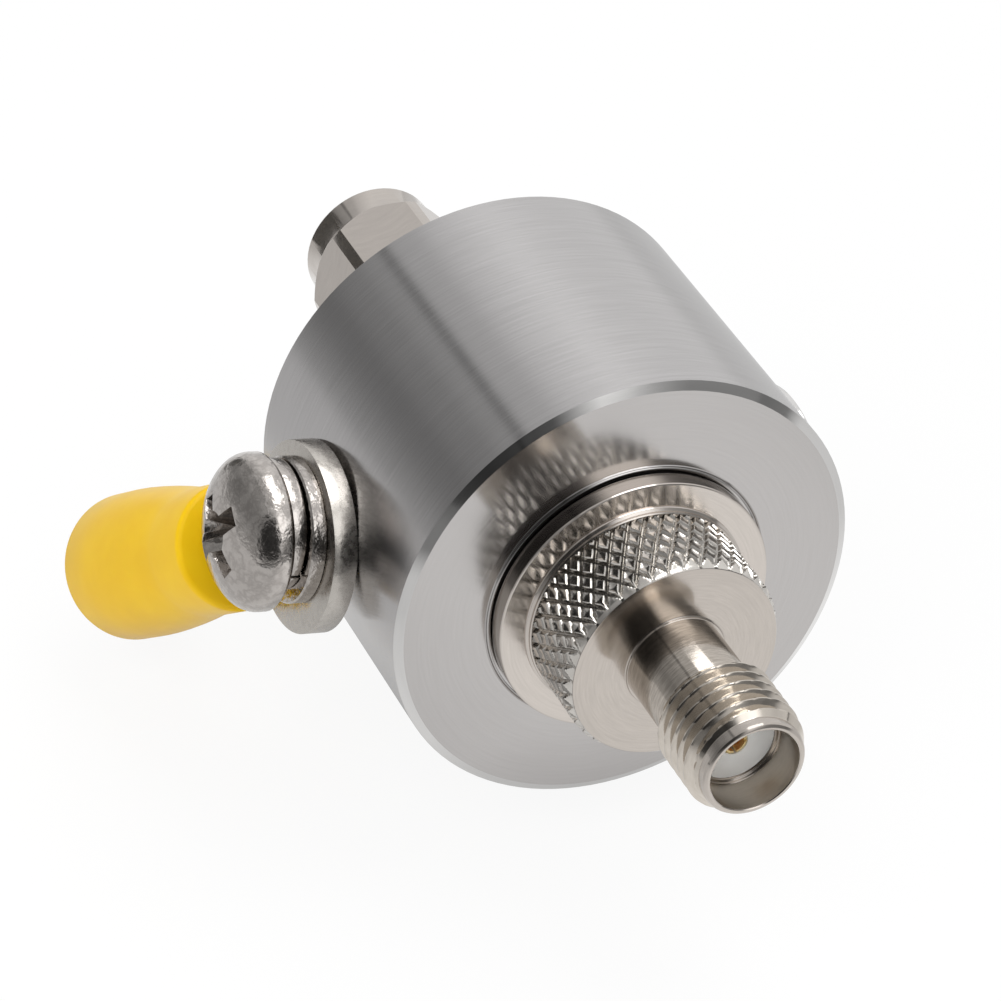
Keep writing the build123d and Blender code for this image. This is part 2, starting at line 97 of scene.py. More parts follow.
def tint(tree, shader, value, dark, light):
    """Colour a finish from dark to light, as the value goes from 0 to 1."""
    node = tree.nodes.new("ShaderNodeMix")
    node.data_type = "RGBA"
    node.inputs[6].default_value = (*dark, 1)
    node.inputs[7].default_value = (*light, 1)
    tree.links.new(value, node.inputs[0])
    tree.links.new(node.outputs[2], shader.inputs["Base Color"])


def emboss(tree, shader, height, strength, depth):
    """Raise a pattern from the surface, by depth in mm where it is strongest."""
    bump = tree.nodes.new("ShaderNodeBump")
    bump.inputs["Strength"].default_value = strength
    bump.inputs["Distance"].default_value = depth * MM
    tree.links.new(height, bump.inputs["Height"])
    tree.links.new(bump.outputs[0], shader.inputs["Normal"])


def turned_metal(name, dark, light, rough, brushed, line_depth, blotch, line_scale=9000):
    """Metal turned about the line axis: fine rings, broken into short scratches."""
    scratches_round, stain_scale = 3, 420
    line_rough, line_height = 0.015, 0.01
    finish, tree, shader, place, xyz = start_finish(name)
    around = reckon(tree, "ARCTAN2", xyz[2], xyz[1])
    along = reckon(tree, "ADD", xyz[0], distance(tree, xyz[1], xyz[2]))
    rings = tree.nodes.new("ShaderNodeCombineXYZ")
    for socket, value, times in zip(rings.inputs, (along, reckon(tree, "SINE", around),
                                                   reckon(tree, "COSINE", around)),
                                    (line_scale, scratches_round, scratches_round)):
        tree.links.new(reckon(tree, "MULTIPLY", value, times), socket)
    lines = grain(tree, rings.outputs[0], 1.0, 3.0, 0.6)
    stains = grain(tree, place, stain_scale, 3.0)
    tint(tree, shader, spread(tree, lines, FAINT, STRONG, 0, 1), dark, light)
    shader.inputs["Metallic"].default_value = 1
    base = spread(tree, lines, FAINT, STRONG, rough - line_rough, rough + line_rough)
    extra = spread(tree, stains, FAINT, STRONG, -blotch, blotch)
    tree.links.new(reckon(tree, "ADD", base, extra), shader.inputs["Roughness"])
    # the gloss is drawn out across the rings, a quarter turn from the way they run
    shader.inputs["Anisotropic"].default_value = brushed
    shader.inputs["Anisotropic Rotation"].default_value = 0.25
    way = tree.nodes.new("ShaderNodeTangent")
    way.direction_type = "RADIAL"
    way.axis = "X"
    tree.links.new(way.outputs[0], shader.inputs["Tangent"])
    emboss(tree, shader, lines, line_depth, line_height)
    return finish


def finish_mesh(name, bm, finish, sharp=30):
    """Smooth the faces, keep edges sharper than this angle, and place the piece."""
    for face in bm.faces:
        face.smooth = True
    for edge in bm.edges:
        if len(edge.link_faces) == 2 and edge.calc_face_angle() > math.radians(sharp):
            edge.smooth = False
    mesh = bpy.data.meshes.new(name)
    bm.to_mesh(mesh)
    bm.free()
    mesh.materials.append(finish)
    piece = bpy.data.objects.new(name, mesh)
    bpy.context.scene.collection.objects.link(piece)
    return piece


def solid_of(node):
    """The closed mesh of a solid of the frame, with its loose triangles joined."""
    same_place, same_plane = 0.002 * MM, math.radians(0.6)
    bm = bmesh.new()
    bm.from_mesh(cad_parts[node].data)
    bmesh.ops.remove_doubles(bm, verts=bm.verts, dist=same_place)
    bmesh.ops.dissolve_limit(bm, angle_limit=same_plane, verts=bm.verts, edges=bm.edges)
    for face in bm.faces:
        face.material_index = 0
    return bm


barrel_finish = turned_metal("brushed_barrel", (0.49, 0.478, 0.475), (0.545, 0.532, 0.53),
                             rough=0.20, brushed=0.75, line_depth=0.16, blotch=0.01)
edge_finish = turned_metal("polished_edge", (0.70, 0.69, 0.68), (0.74, 0.73, 0.72),
                           rough=0.08, brushed=0.0, line_depth=0.1, blotch=0.02, line_scale=6000)
face_finish = turned_metal("turned_face", (0.485, 0.468, 0.458), (0.505, 0.488, 0.478),
                           rough=0.115, brushed=0.88, line_depth=0.08, blotch=0.005)
SLANTED, SQUARE_ON = 0.2, 0.95  # how far a face looks along the line axis
CHAMFER_R = 11.7
bm = solid_of("barrel_body")
for face in bm.faces:
    middle, facing = face.calc_center_median(), abs(face.normal.x)
    if SLANTED < facing < SQUARE_ON and math.hypot(middle.y, middle.z) > CHAMFER_R * MM:
        face.material_index = 1
    elif facing > SQUARE_ON:
        face.material_index = 2
barrel = finish_mesh("barrel", bm, barrel_finish, sharp=18)
barrel.data.materials.append(edge_finish)
barrel.data.materials.append(face_finish)
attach(barrel, "barrel")
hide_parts("barrel_body")


# Rear insert: flange, plain hub, journal for the nut and the plug's ferrule,
# turned from one bar of brass, nickel plated bright and pressed into the barrel.
def wear(node, finish):
    """Give a solid of the frame its finish."""
    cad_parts[node].data.materials.clear()
    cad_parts[node].data.materials.append(finish)


bright_finish = turned_metal("bright_turned", (0.50, 0.46, 0.42), (0.56, 0.512, 0.468),
                             rough=0.13, brushed=0.8, line_depth=0.08, blotch=0.01)
wear("rear_insert", bright_finish)

# Seal rings and gasket: flat rings of moulded black rubber. A seal ring is
# squeezed under each flange, where it shows as a dark line, and the gasket lies
# in the bottom of the nut.
rubber, tree, shader, place, _ = start_finish("seal_rubber")
tint(tree, shader, grain(tree, place, 3000), (0.012, 0.012, 0.012), (0.03, 0.03, 0.03))
shader.inputs["Roughness"].default_value = 0.6
for node in ("front_seal_ring", "rear_seal_ring", "nut_gasket"):
    wear(node, rubber)


# Coupling nut: a hexagon with a cone and a collar, turned and milled from brass
# and plated bright. It is free to turn on the rear insert's journal.
def ease_edges(bm, width, segments=1, sharp=35):
    """Round the edges that are sharper than this angle, by a width in mm."""
    edges = [edge for edge in bm.edges
             if len(edge.link_faces) == 2 and edge.calc_face_angle() > math.radians(sharp)]
    bmesh.ops.bevel(bm, geom=edges, offset=width * MM, offset_type="OFFSET", affect="EDGES",
                    segments=segments, profile=0.5, material=-1, clamp_overlap=True)
    bmesh.ops.dissolve_degenerate(bm, dist=0.001 * MM, edges=bm.edges)


nut_finish = turned_metal("plated_nut", (0.53, 0.488, 0.452), (0.57, 0.525, 0.485),
                          rough=0.115, brushed=0.2, line_depth=0.10, blotch=0.02, line_scale=3000)
bm = solid_of("coupling_nut")
ease_edges(bm, 0.05)
nut = finish_mesh("nut", bm, nut_finish, sharp=18)
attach(nut, "nut")
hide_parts("coupling_nut")

# Snap ring and tube spring: phosphor bronze, the ring bent from wire and the
# spring dished from strip. One holds the nut on its journal, the other presses
# on the gas tube, and both are hidden when it is put together.
bronze, tree, shader, place, _ = start_finish("spring_bronze")
tint(tree, shader, grain(tree, place, 1500), (0.50, 0.30, 0.16), (0.66, 0.43, 0.24))
shader.inputs["Metallic"].default_value = 1
shader.inputs["Roughness"].default_value = 0.3
for node in ("nut_snap_ring", "gas_tube_spring"):
    wear(node, bronze)

# Insulators: turned white PTFE, pressed into both ends of the line, waxy and
# slightly see-through at the edge. The gas tube's ceramic wall is as white.
SEE_THROUGH = 0.4  # mm that light gets into the white
white, tree, shader, place, _ = start_finish("white_insulator")
tint(tree, shader, grain(tree, place, 900), (0.86, 0.85, 0.82), (0.94, 0.935, 0.91))
shader.inputs["Roughness"].default_value = 0.45
shader.inputs["Subsurface Weight"].default_value = 0.3
shader.inputs["Subsurface Radius"].default_value = (SEE_THROUGH * MM,) * 3
for node in ("front_insulator", "rear_insulator", "gas_tube_ceramic"):
    wear(node, white)

# Contacts and line: brass or bronze, turned and gold plated. The slotted contact
# and the pin are pushed into the insulators, with the line between them. Inside
# the contact's bore the gold is painted deep orange, a painted reflection of the
# gold mirroring itself there.
BORE_R, BORE_RIM_R, CLOUD_R = 0.43, 0.50, 0.12
LINE_END, CONTACT_START = 30, 32  # mm along the line axis
gold, tree, shader, place, xyz = start_finish("gold_plate")
clouds = reckon(tree, "MULTIPLY", reckon(tree, "SUBTRACT", grain(tree, place, 4000), 0.5),
                CLOUD_R * MM)
reach = reckon(tree, "ADD", distance(tree, xyz[1], xyz[2]), clouds)
clear_of_painted_bore = reckon(tree, "MAXIMUM", spread(tree, reach, BORE_R * MM, BORE_RIM_R * MM, 0.0, 1.0),
                 spread(tree, xyz[0], LINE_END * MM, CONTACT_START * MM, 1.0, 0.0))
# painted reflection: the colour turns deep orange inside the contact's bore
tint(tree, shader, clear_of_painted_bore, (0.86, 0.34, 0.05), (1.0, 0.80, 0.40))
shader.inputs["Metallic"].default_value = 0.5
tree.links.new(spread(tree, grain(tree, place, 5000), FAINT, STRONG, 0.30, 0.42),
               shader.inputs["Roughness"])
for node in ("centre_conductor", "socket_contact", "plug_pin"):
    wear(node, gold)

# Gas tube electrodes: drawn metal caps, tinned and soldered to the ceramic wall.
# The tin is uneven, as it runs and sets in low dents.
SPOT_SHARE = 0.35
tin, tree, shader, place, _ = start_finish("tinned_metal")
spots = grain(tree, place, 3500, 4.0, 0.6)
dents = grain(tree, place, 1100)
tint(tree, shader, spread(tree, spots, 0.35, 0.65, 0, 1), (0.50, 0.47, 0.435), (0.60, 0.57, 0.53))
shader.inputs["Metallic"].default_value = 1
tree.links.new(spread(tree, spots, FAINT, STRONG, 0.20, 0.36), shader.inputs["Roughness"])
emboss(tree, shader, reckon(tree, "ADD", dents, reckon(tree, "MULTIPLY", spots, SPOT_SHARE)),
       strength=0.5, depth=0.05)
for node in ("gas_tube_line_electrode", "gas_tube_earth_electrode"):
    wear(node, tin)

# Screw cap: a flat disc with a straight slot, turned from brass and plated. It
# is screwed flush into the barrel over the gas tube and its spring.
bm = solid_of("gas_tube_cap")
ease_edges(bm, 0.04)
cap = finish_mesh("tube_cap", bm, edge_finish, sharp=18)
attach(cap, "barrel")
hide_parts("gas_tube_cap")


# Flange: the back end of the front insert, which is turned from one bar of brass
# and plated bright. It is pressed into the barrel as far as the flange, and a
# thin lip stands in front, where the knurled hub begins.
def lathe(name, outline, steps, finish, sharp):
    """Spin corners, x and radius in mm, about the line axis into a closed piece."""
    bm = bmesh.new()
    verts = [bm.verts.new((x * MM, radius * MM, 0)) for x, radius in outline]
    edges = [bm.edges.new(pair) for pair in zip(verts, verts[1:] + verts[:1])]
    bmesh.ops.spin(bm, geom=verts + edges, cent=(0, 0, 0), axis=(1, 0, 0), dvec=(0, 0, 0),
                   angle=2 * math.pi, steps=steps, use_merge=True)
    bmesh.ops.remove_doubles(bm, verts=bm.verts, dist=0.0001 * MM)
    bmesh.ops.recalc_face_normals(bm, faces=bm.faces)
    return finish_mesh(name, bm, finish, sharp)


flange_finish = turned_metal("turned_flange", (0.58, 0.535, 0.495), (0.63, 0.58, 0.535),
                             rough=0.145, brushed=0.88, line_depth=0.10, blotch=0.01)
flange = lathe("front_flange", [
    (31.95, 2.3), (31.95, 6.88), (33.29, 6.88), (33.29, 6.25), (33.73, 6.25),
    (33.73, 7.18), (33.76, 7.24), (33.80, 7.25), (34.63, 7.25), (34.69, 7.22), (34.71, 7.16),
    (34.71, 5.92), (34.76, 5.89), (34.82, 5.92), (34.86, 5.86), (34.90, 5.80), (35.00, 5.78),
    (35.04, 5.72), (35.04, 5.45), (35.60, 5.45), (35.60, 2.3),
], 192, flange_finish, sharp=14)
flange.data.materials.append(bright_finish)
RIM_R, SIDEWAYS = 7.1, 0.3  # the flange's outer side is left bright
for face in flange.data.polygons:
    middle = face.center
    if abs(face.normal.x) < SIDEWAYS and math.hypot(middle.y, middle.z) > RIM_R * MM:
        face.material_index = 1
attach(flange, "barrel")
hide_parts("front_insert")

# Joint: a fine double bead round the flange, of the barrel's own plated brass.
# It is the bored edge of the barrel, rolled over when the insert is pressed in.
joint = lathe("front_joint", [
    (33.45, 7.36), (33.58, 7.37), (33.61, 7.39), (33.60, 7.42), (33.555, 7.46),
    (33.59, 7.49), (33.60, 7.52), (33.58, 7.55), (33.54, 7.58), (33.45, 7.58),
], 192, face_finish, sharp=40)
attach(joint, "barrel")
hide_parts("barrel_body")


# Knurl: 40 grooves of each hand, rolled crosswise into the insert's brass hub.
# The rolls leave flat crowns and raise a burr beside each groove, and the front
# edge is then cut off at a slant.
def tube_of_rows(back, step, rows, segments, radius):
    """An open tube of rows of square faces, laid forward from a circle, in mm."""
    bm = bmesh.new()
    circle = bmesh.ops.create_circle(bm, segments=segments, radius=radius * MM, cap_ends=False)
    upright = Matrix.Translation((back * MM, 0, 0)) @ Matrix.Rotation(math.pi / 2, 4, "Y")
    bmesh.ops.transform(bm, matrix=upright, verts=circle["verts"])
    rim = list(bm.edges)
    for _ in range(rows):
        grown = bmesh.ops.extrude_edge_only(bm, edges=rim)["geom"]
        verts = [part for part in grown if isinstance(part, bmesh.types.BMVert)]
        ahead = set(verts)
        rim = [part for part in grown
               if isinstance(part, bmesh.types.BMEdge) and ahead.issuperset(part.verts)]
        bmesh.ops.translate(bm, verts=verts, vec=(step * MM, 0, 0))
    return bm


def set_radius(vert, radius):
    """Put a corner this many mm from the line axis, where it stands round it."""
    angle = math.atan2(vert.co.z, vert.co.y)
    vert.co.y, vert.co.z = radius * MM * math.cos(angle), radius * MM * math.sin(angle)


def open_rims(bm):
    """The edges at both open ends of a tube."""
    return [edge for edge in bm.edges if len(edge.link_faces) == 1]


def close_tube(bm, *turns):
    """Carry both open rims to new radii, the front one forward too, and join them."""
    middle = sum(vert.co.x for vert in bm.verts) / len(bm.verts)
    for radius, forward in turns:
        grown = bmesh.ops.extrude_edge_only(bm, edges=open_rims(bm))["geom"]
        for vert in [part for part in grown if isinstance(part, bmesh.types.BMVert)]:
            if vert.co.x > middle:
                vert.co.x += forward * MM
            set_radius(vert, radius)
    bmesh.ops.bridge_loops(bm, edges=open_rims(bm))
    bmesh.ops.recalc_face_normals(bm, faces=bm.faces)


GROOVES = 40
CROSSING_X, CROSSING_STEP = 35.54, 1.46  # where grooves cross, and how far on they do again
HUB_R, GROOVE_DEEP, BURR_HIGH, CROWN_HIGH = 5.66, 0.24, 0.040, 0.030
GROOVE_FROM, BURR_AT, BURR_WIDE, CROWN_TO = 0.62, 0.60, 0.12, 0.5  # 1 is a groove's middle
UNEVEN = ((900, 0.045), (3500, 0.022))  # how fine, and how high in mm
GROOVE_CALM = 0.5  # how much less uneven a groove is
FRONT_X, FRONT_R, FRONT_SLOPE = 39.19, 5.455, 0.7
FRONT_OUT, HOLLOW_R, HOLLOW_BACK = 0.20, 5.30, -0.12
bm = tube_of_rows(back=35.08, step=0.091333, rows=45, segments=640, radius=5.7)
for vert in bm.verts:
    turn = math.atan2(vert.co.z, vert.co.y) * GROOVES / (2 * math.pi)
    step = (vert.co.x / MM - CROSSING_X) / CROSSING_STEP
    deep = max(abs((turn + step) % 1 - 0.5) * 2, abs((turn - step) % 1 - 0.5) * 2)
    groove = max(0.0, deep - GROOVE_FROM) / (1 - GROOVE_FROM)
    burr = max(0.0, 1 - abs(deep - BURR_AT) / BURR_WIDE)
    crown = min(1.0, deep / CROWN_TO)
    uneven = sum(noise.noise(vert.co * fine) * high for fine, high in UNEVEN)
    radius = (HUB_R - GROOVE_DEEP * groove + BURR_HIGH * burr + CROWN_HIGH * crown
              + uneven * (1 - GROOVE_CALM * groove))
    set_radius(vert, min(radius, FRONT_R + FRONT_SLOPE * (FRONT_X - vert.co.x / MM)))
close_tube(bm, (FRONT_R, FRONT_OUT), (HOLLOW_R, HOLLOW_BACK))
knurl_finish = turned_metal("knurled_hub", (0.60, 0.57, 0.53), (0.72, 0.69, 0.65),
                            rough=0.15, brushed=0.0, line_depth=0.15, blotch=0.03, line_scale=3000)
knurl = finish_mesh("front_knurl", bm, knurl_finish, sharp=35)
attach(knurl, "barrel")
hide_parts("front_insert")

# Socket: the front end of the same brass insert, with the hub's flat disc, a
# slim neck and a bored mouth, turned and plated. The neck keeps the rings of the
# turning tool, and the inside of the mouth is dull.
neck_finish = turned_metal("turned_neck", (0.40, 0.36, 0.315), (0.64, 0.585, 0.525),
                           rough=0.13, brushed=0.8, line_depth=0.30, blotch=0.01, line_scale=11000)
mouth_finish = turned_metal("bored_mouth", (0.50, 0.455, 0.40), (0.56, 0.51, 0.45),
                            rough=0.34, brushed=0.3, line_depth=0.1, blotch=0.04, line_scale=8000)
socket = lathe("front_socket", [
    (39.10, 2.07), (39.10, 5.40), (39.355, 5.455), (39.385, 5.45), (39.39, 5.43), (39.39, 2.72),
    (39.42, 2.67), (39.50, 2.65), (39.52, 2.63), (39.52, 2.535), (43.22, 2.535), (43.30, 2.50),
    (47.30, 2.50), (47.50, 2.60), (47.54, 2.68), (47.60, 2.685), (48.00, 2.68), (48.10, 2.62),
    (48.165, 2.52), (48.185, 2.47), (48.185, 2.38), (48.15, 2.335), (48.08, 2.31),
    (46.24, 2.31), (46.20, 2.28), (46.18, 2.20), (46.14, 2.17), (46.10, 2.19), (46.06, 2.16),
    (46.035, 2.07),
], 144, bright_finish, sharp=25)
socket.data.materials.append(mouth_finish)
socket.data.materials.append(neck_finish)
MOUTH_X, MOUTH_R = 46.3, 2.33
NECK_START, NECK_END, NECK_R = 39.53, 47.3, 2.45
for face in socket.data.polygons:
    middle = face.center
    reach = math.hypot(middle.y, middle.z)
    if middle.x > MOUTH_X * MM and reach < MOUTH_R * MM:
        face.material_index = 1
    elif NECK_START * MM < middle.x < NECK_END * MM and reach > NECK_R * MM:
        face.material_index = 2
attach(socket, "barrel")
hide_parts("front_insert")

# Thread: quarter inch, 36 to the inch, right hand, cut into the brass round the
# socket before plating. It runs in at the neck and ends short of the mouth.
PITCH, ROOT_R, RIDGE_HIGH = 0.7056, 2.66, 0.465
CREST_X, CREST_TURN = 43.93, 2.05  # a place on the crest, in mm and radians
ROOT_WIDE, FLANK_WIDE = 0.26, 0.62  # parts of half a pitch
START_X, START_LONG, START_R, START_RISE = 43.22, 0.56, 2.54, 0.585
STOP_X, STOP_LONG, STOP_R, STOP_RISE = 47.55, 0.45, 2.68, 0.445
THREAD_HOLLOW_R = 2.42
bm = tube_of_rows(back=43.20, step=0.035, rows=126, segments=144, radius=2.6)
for vert in bm.verts:
    x, turn = vert.co.x / MM, math.atan2(vert.co.z, vert.co.y)
    phase = ((x - CREST_X) / PITCH - (turn - CREST_TURN) / (2 * math.pi)) % 1
    ridge = min(1.0, max(0.0, (abs(phase - 0.5) * 2 - ROOT_WIDE) / FLANK_WIDE))
    start = min(1.0, max(0.0, (x - START_X) / START_LONG))
    stop = min(1.0, max(0.0, (STOP_X - x) / STOP_LONG))
    set_radius(vert, min(ROOT_R + RIDGE_HIGH * ridge, START_R + START_RISE * start,
                         STOP_R + STOP_RISE * stop))
close_tube(bm, (THREAD_HOLLOW_R, 0.0))
thread_finish = turned_metal("cut_thread", (0.58, 0.53, 0.47), (0.66, 0.61, 0.55),
                             rough=0.12, brushed=0.0, line_depth=0.10, blotch=0.03)
thread = finish_mesh("socket_thread", bm, thread_finish, sharp=24)
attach(thread, "barrel")
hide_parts("front_insert")

# Earth screw and its washers: plated steel, the head pressed with a cross recess
# and marked by the driver, the lock washer wound and cut, the plain one punched.
# The screw holds all of it against the side of the barrel. Their metal is
# painted darker along the bottoms of its folds, as painted shade in the creases.
CREASE_SHADE_WIDE, FINE_SHARE = 0.12, 0.08
crease_shaded_steel, tree, shader, place, _ = start_finish("screw_steel_crease_shade")
spots = grain(tree, place, 1300, 3.0, 0.55)
fine = grain(tree, place, 7000, 3.0)
folds = reckon(tree, "ABSOLUTE", reckon(tree, "SUBTRACT", spots, 0.5))
# painted shade: the colour is darker along the bottoms of the folds
tint(tree, shader, spread(tree, folds, 0.0, CREASE_SHADE_WIDE, 0, 1),
     (0.44, 0.41, 0.385), (0.56, 0.525, 0.495))
shader.inputs["Metallic"].default_value = 1
tree.links.new(spread(tree, fine, FAINT, STRONG, 0.11, 0.22), shader.inputs["Roughness"])
emboss(tree, shader, reckon(tree, "ADD", folds, reckon(tree, "MULTIPLY", fine, FINE_SHARE)),
       strength=0.7, depth=0.09)
bm = solid_of("earth_screw")
ease_edges(bm, 0.06, segments=2, sharp=40)
screw = finish_mesh("pan_screw", bm, crease_shaded_steel)
bm = solid_of("spring_washer")
ease_edges(bm, 0.10, segments=2, sharp=40)
split_washer = finish_mesh("split_washer", bm, crease_shaded_steel)
flat_washer = finish_mesh("flat_washer", solid_of("plain_washer"), crease_shaded_steel)
for piece, node in ((screw, "earth_screw"), (split_washer, "spring_washer"),
                    (flat_washer, "plain_washer")):
    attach(piece, "barrel")
    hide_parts(node)

# Ring terminal: punched from copper sheet, its tail rolled into a crimp barrel,
# and tinned. Its ring is clamped under the washers of the earth screw.
bm = solid_of("terminal_lug")
ease_edges(bm, 0.10, segments=2, sharp=40)
ring_terminal = finish_mesh("ring_terminal", bm, tin)
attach(ring_terminal, "barrel")
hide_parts("terminal_lug")

# Sleeve: moulded yellow PVC, thick walled and flared to its open end for the
# wire. It is pushed over the crimp barrel of the ring terminal.
RED_DEEP, GREEN_DEEP, BLUE_DEEP = 1.2, 0.6, 0.1  # mm that each light gets into the PVC
SLEEVE_AXIS = Vector((-0.77907, -0.16536, -0.60474))
SLEEVE_FROM = Vector((23.840, -14.678, 1.0637)) * MM
yellow, tree, shader, place, _ = start_finish("yellow_sleeve")
cloud = spread(tree, grain(tree, place, 350, 3.0), FAINT, STRONG, 0, 1)
tint(tree, shader, cloud, (0.79, 0.475, 0.004), (0.84, 0.53, 0.008))
shader.inputs["Roughness"].default_value = 0.34
shader.inputs["Specular IOR Level"].default_value = 0.2
shader.inputs["Subsurface Weight"].default_value = 0.12
shader.inputs["Subsurface Radius"].default_value = (RED_DEEP * MM, GREEN_DEEP * MM, BLUE_DEEP * MM)
emboss(tree, shader, grain(tree, place, 1400), strength=0.12, depth=0.04)
sleeve = lathe("crimp_sleeve", [
    (4.74, 0.90), (4.70, 1.10), (4.70, 3.05), (4.76, 3.24), (4.90, 3.34), (5.10, 3.36),
    (8.30, 3.36), (8.70, 3.38), (9.40, 3.45), (10.70, 3.61), (12.00, 3.74), (13.40, 3.85),
    (14.60, 3.92), (15.60, 3.95), (18.35, 3.95), (18.52, 3.90), (18.60, 3.78), (18.60, 3.36),
    (18.54, 3.26), (18.40, 3.23), (15.50, 3.23), (13.60, 2.72), (13.40, 2.72), (4.84, 2.72),
    (4.84, 0.90),
], 128, yellow, sharp=40)
swing = SLEEVE_AXIS.to_track_quat("X", "Z").to_matrix().to_4x4()
sleeve.data.transform(Matrix.Translation(SLEEVE_FROM) @ swing)
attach(sleeve, "barrel")
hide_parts("terminal_sleeve")

# Floor: one large sheet of pale paper, on which the part lies. Light falls on it
# as on grey paper, so it keeps the shadow. To the camera it glows white, and what
# mirrors it sees a painted glow, with painted shade on both sides and far in
# front, and a painted shadow under the barrel.
PAPER_PLACE, PAPER_HALF, BARREL_X = (0.02, 0, -0.0150), 2, 0.024  # in metres
WHITE_SHARE = 0.9
# from where to where in metres, and how white it is at each
LEFT_FADE, RIGHT_FADE = (-0.03, 0.0, 0.62, 1.0), (0.021, 0.037, 1.0, 0.70)
FRONT_FADE, BARREL_SHADOW = (0.085, 0.125, 1.0, 0.2), (0.008, 0.018, 0.55, 1.0)
paper = bpy.data.materials.new("pale_paper")
paper.use_nodes = True
tree = paper.node_tree
tree.nodes.clear()
place = tree.nodes.new("ShaderNodeTexCoord")
parts = tree.nodes.new("ShaderNodeSeparateXYZ")
tree.links.new(place.outputs["Object"], parts.inputs[0])
x, y = parts.outputs[0], parts.outputs[1]
off_barrel = distance(tree, reckon(tree, "SUBTRACT", x, BARREL_X), y)
# painted shade for mirrors: darker on both sides and far in front, with a painted shadow under the
# barrel
shade = spread(tree, y, *LEFT_FADE)
for measure, fade in ((y, RIGHT_FADE), (x, FRONT_FADE), (off_barrel, BARREL_SHADOW)):
    shade = reckon(tree, "MULTIPLY", shade, spread(tree, measure, *fade))
ray = tree.nodes.new("ShaderNodeLightPath")
seen = reckon(tree, "ADD", ray.outputs["Is Camera Ray"], ray.outputs["Is Glossy Ray"])
seen = reckon(tree, "ADD", seen, ray.outputs["Is Transmission Ray"])
bare = tree.nodes.new("ShaderNodeEmission")
tree.links.new(reckon(tree, "MAXIMUM", shade, ray.outputs["Is Camera Ray"]),
               bare.inputs["Strength"])
lit = tree.nodes.new("ShaderNodeBsdfDiffuse")
lit.inputs["Color"].default_value = (0.85, 0.85, 0.85, 1)
mixed = tree.nodes.new("ShaderNodeMixShader")
tree.links.new(reckon(tree, "MULTIPLY", seen, WHITE_SHARE), mixed.inputs[0])
tree.links.new(lit.outputs[0], mixed.inputs[1])
tree.links.new(bare.outputs[0], mixed.inputs[2])
result = tree.nodes.new("ShaderNodeOutputMaterial")
tree.links.new(mixed.outputs[0], result.inputs[0])
bm = bmesh.new()
bmesh.ops.create_grid(bm, x_segments=1, y_segments=1, size=PAPER_HALF)
bmesh.ops.translate(bm, verts=bm.verts, vec=PAPER_PLACE)
floor = finish_mesh("pale_floor", bm, paper)

# Black card: a small board of black paper, stood on edge beside the nut and out
# of view. Only what mirrors it sees it, and the nut's collar gets its dark patch.
CARD_WIDE, CARD_TALL, CARD_PLACE = 13 * MM, 24 * MM, Vector((-27, -22, 6.8)) * MM
CARD_FACES = (0.73, 0.67, -0.12)
board, tree, shader, place, _ = start_finish("black_board")
tint(tree, shader, grain(tree, place, 500), (0.09, 0.088, 0.085), (0.13, 0.127, 0.12))
shader.inputs["Roughness"].default_value = 0.9
bm = bmesh.new()
bmesh.ops.create_grid(bm, x_segments=1, y_segments=1, size=0.5)
bmesh.ops.scale(bm, verts=bm.verts, vec=(CARD_WIDE, CARD_TALL, 1))
facing = Vector(CARD_FACES).normalized()
side = Vector((0, 0, 1)).cross(facing).normalized()
stand = Matrix((side, facing.cross(side), facing)).transposed().to_4x4()
bmesh.ops.transform(bm, matrix=Matrix.Translation(CARD_PLACE) @ stand, verts=bm.verts)
card = finish_mesh("black_card", bm, board)
card.visible_camera = False
card.visible_shadow = False
card.visible_diffuse = False


# Light: a tent of pale cloth, lit from outside, with two soft lamps. The part
# mirrors its folds, its open dark side, from which the picture is taken, the far
# side of the room and one bright window.
def patch(tree, sky, direction, *fade):
    """A round patch of the room, which fades as a ray comes nearer to a direction."""
    nearness = tree.nodes.new("ShaderNodeVectorMath")
    nearness.operation = "DOT_PRODUCT"
    tree.links.new(sky, nearness.inputs[0])
    nearness.inputs[1].default_value = direction
    return spread(tree, nearness.outputs["Value"], *fade)


def softbox(name, place, target, size, power):
    """A rectangular lamp, turned to its target."""
    light = bpy.data.lights.new(name, "AREA")
    light.shape = "RECTANGLE"
    light.size, light.size_y = size
    light.energy = power
    lamp = bpy.data.objects.new(name, light)
    bpy.context.scene.collection.objects.link(lamp)
    lamp.location = place
    aim = Vector(target) - Vector(place)
    lamp.rotation_euler = aim.to_track_quat("-Z", "Y").to_euler()
    return lamp


# how bright the cloth is at each angle round the line axis, in degrees
CLOTH = [(-180, 0.44), (-160, 0.60), (-140, 0.78), (-100, 0.75), (-60, 0.86), (-40, 0.92),
         (0, 0.86), (26, 0.86), (45, 0.89), (64, 0.91), (74, 0.84), (90, 0.72), (98, 0.59),
         (111, 0.56), (113, 0.24), (116, 0.24), (118, 0.44), (125, 0.40), (131, 0.34),
         (141, 0.32), (150, 0.26), (160, 0.28), (168, 0.35), (180, 0.46)]
# the strip that the barrel's side mirrors, in which the folds stand out more
STRIP_X, STRIP_FADE, MEAN_CLOTH, DARKEST = -0.73, (0.05, 0.20, 0.15, 0.0), 0.55, 0.04
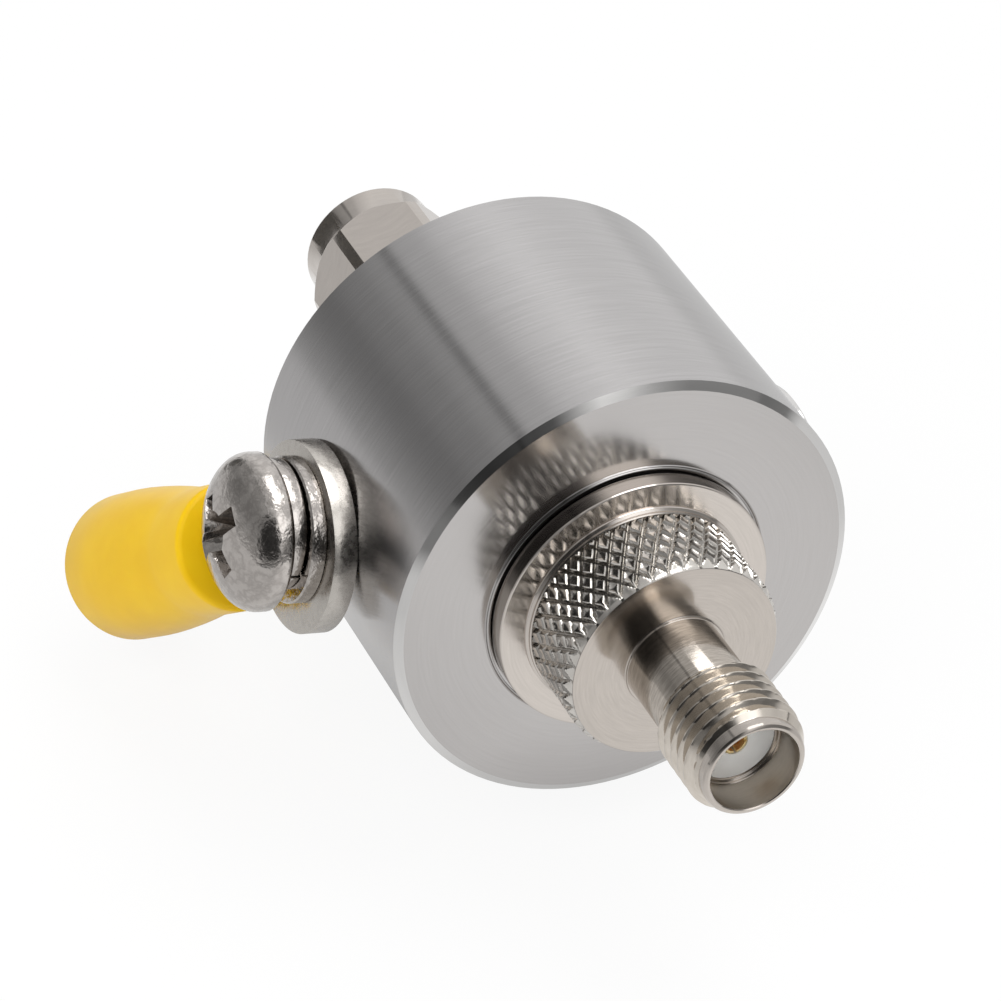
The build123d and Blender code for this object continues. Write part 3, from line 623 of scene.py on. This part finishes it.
# a direction, from how near to how near, where 1 is straight along it, and the level at each
OPEN_SIDE = (0.841, -0.473, 0.263), 0.74, 0.86, 1.0, 0.12
FAR_SIDE = (0.73, 0.68, -0.06), 0.82, 0.96, 1.0, 0.3
WINDOW = (0.73, 0.317, 0.605), 0.93, 0.975, 0.0, 0.9
tent = bpy.data.worlds.new("tent")
bpy.context.scene.world = tent
tent.use_nodes = True
tree = tent.node_tree
sky = tree.nodes.new("ShaderNodeTexCoord").outputs["Generated"]
parts = tree.nodes.new("ShaderNodeSeparateXYZ")
tree.links.new(sky, parts.inputs[0])
around = reckon(tree, "ARCTAN2", parts.outputs[2], parts.outputs[1])
turn = reckon(tree, "ADD", reckon(tree, "DIVIDE", around, 2 * math.pi), 0.5)
cloth = tree.nodes.new("ShaderNodeValToRGB")
tree.links.new(turn, cloth.inputs[0])
ramp = cloth.color_ramp
while len(ramp.elements) < len(CLOTH):
    ramp.elements.new(0.5)
for element, (angle, level) in zip(ramp.elements, CLOTH):
    element.position = (angle + 180) / 360
    element.color = (level, level, level, 1)
off_strip = reckon(tree, "ABSOLUTE", reckon(tree, "SUBTRACT", parts.outputs[0], STRIP_X))
folds = reckon(tree, "MULTIPLY", spread(tree, off_strip, *STRIP_FADE),
               reckon(tree, "SUBTRACT", cloth.outputs[0], MEAN_CLOTH))
level = reckon(tree, "MAXIMUM", reckon(tree, "ADD", cloth.outputs[0], folds), DARKEST)
dark_room = reckon(tree, "MULTIPLY", patch(tree, sky, *OPEN_SIDE), patch(tree, sky, *FAR_SIDE))
level = reckon(tree, "MULTIPLY", level, dark_room)
level = reckon(tree, "ADD", level, patch(tree, sky, *WINDOW))
white_view = tree.nodes.new("ShaderNodeMix")
white_view.data_type = "RGBA"
ray = tree.nodes.new("ShaderNodeLightPath")
tree.links.new(ray.outputs["Is Camera Ray"], white_view.inputs[0])
tree.links.new(level, white_view.inputs[6])
white_view.inputs[7].default_value = (1, 1, 1, 1)
back = tree.nodes["Background"]
tree.links.new(white_view.outputs[2], back.inputs["Color"])
back.inputs["Strength"].default_value = 1.0
softbox("top_light", (0.0, 0.10, 0.35), (0.02, 0, 0), (0.30, 0.20), power=0.5)
fill = softbox("fill_light", (0.16, -0.22, 0.22), (0.02, -0.01, 0), (0.30, 0.30), power=0.75)
fill.visible_glossy = False

# Camera: a long lens, from the front left and above. Its place and turn were
# fitted to the circles of the barrel, for a square picture.
LENS, SENSOR_WIDE, CAMERA_PLACE = 156.03, 36, (0.18532, -0.07261, 0.13337)
RIGHT, UP = Vector((0.3983, 0.9172, 0)), Vector((-0.5546, 0.2408, 0.7965))
FORWARD = Vector((-0.7306, 0.3172, -0.6046))
view = bpy.data.cameras.new("camera")
view.lens = LENS
view.sensor_width = SENSOR_WIDE
view.clip_start = 0.01
camera = bpy.data.objects.new("camera", view)
bpy.context.scene.collection.objects.link(camera)
turned = Matrix((RIGHT, UP, -FORWARD)).transposed().to_4x4()
camera.matrix_world = Matrix.Translation(CAMERA_PLACE) @ turned
bpy.context.scene.camera = camera
bpy.context.scene.view_settings.view_transform = "Standard"
